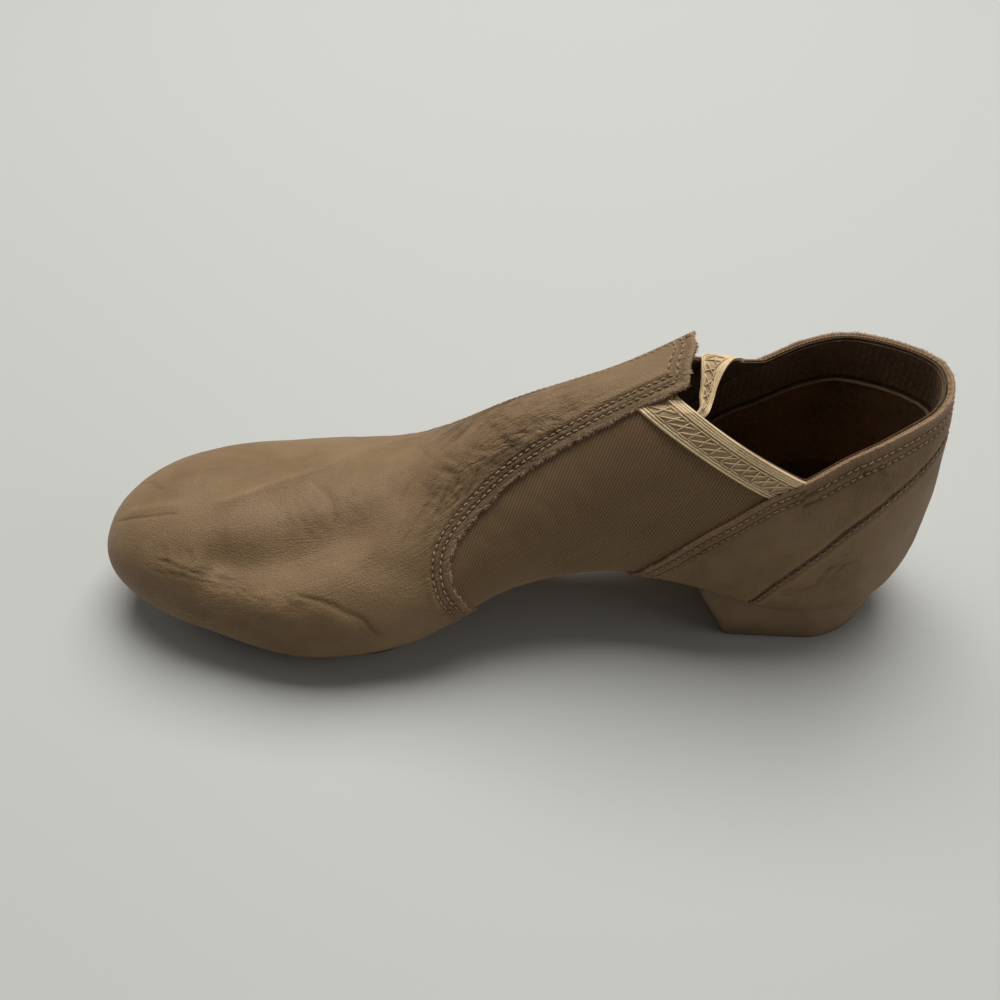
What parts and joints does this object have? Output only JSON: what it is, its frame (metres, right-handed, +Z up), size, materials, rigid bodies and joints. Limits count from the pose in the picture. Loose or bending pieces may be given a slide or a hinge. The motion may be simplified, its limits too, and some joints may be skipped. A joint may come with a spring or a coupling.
{
  "type": "jazz shoe",
  "caption": "Tan leather slip-on jazz shoe with stretch side panels, elastic strips at the throat, a split sole and a low rubber heel",
  "frame": {"origin": "on the floor under the middle of the shoe's box", "axes": "+X runs from the toe to the heel, +Y to the shoe's right, the side away from the camera, +Z up"},
  "size_m": [0.24, 0.0804, 0.0818],
  "materials": {
    "tan_leather": "soft fine-grained leather with a low sheen and raw cut edges",
    "stretch_fabric": "matt twill-faced stretch fabric",
    "elastic_webbing": "ribbed matt elastic with a zigzag stitch",
    "brown_lining": "brown brushed lining",
    "tan_rubber": "matt tan rubber"
  },
  "bodies": {
    "root": {"upper": "stretch_fabric", "vamp": "tan_leather", "quarter": "tan_leather", "heel_counter": "tan_leather", "elastic_near": "elastic_webbing", "elastic_far": "elastic_webbing", "insole": "brown_lining", "forefoot_outsole": "tan_rubber", "heel_block": "tan_rubber"}
  },
  "joints": []
}
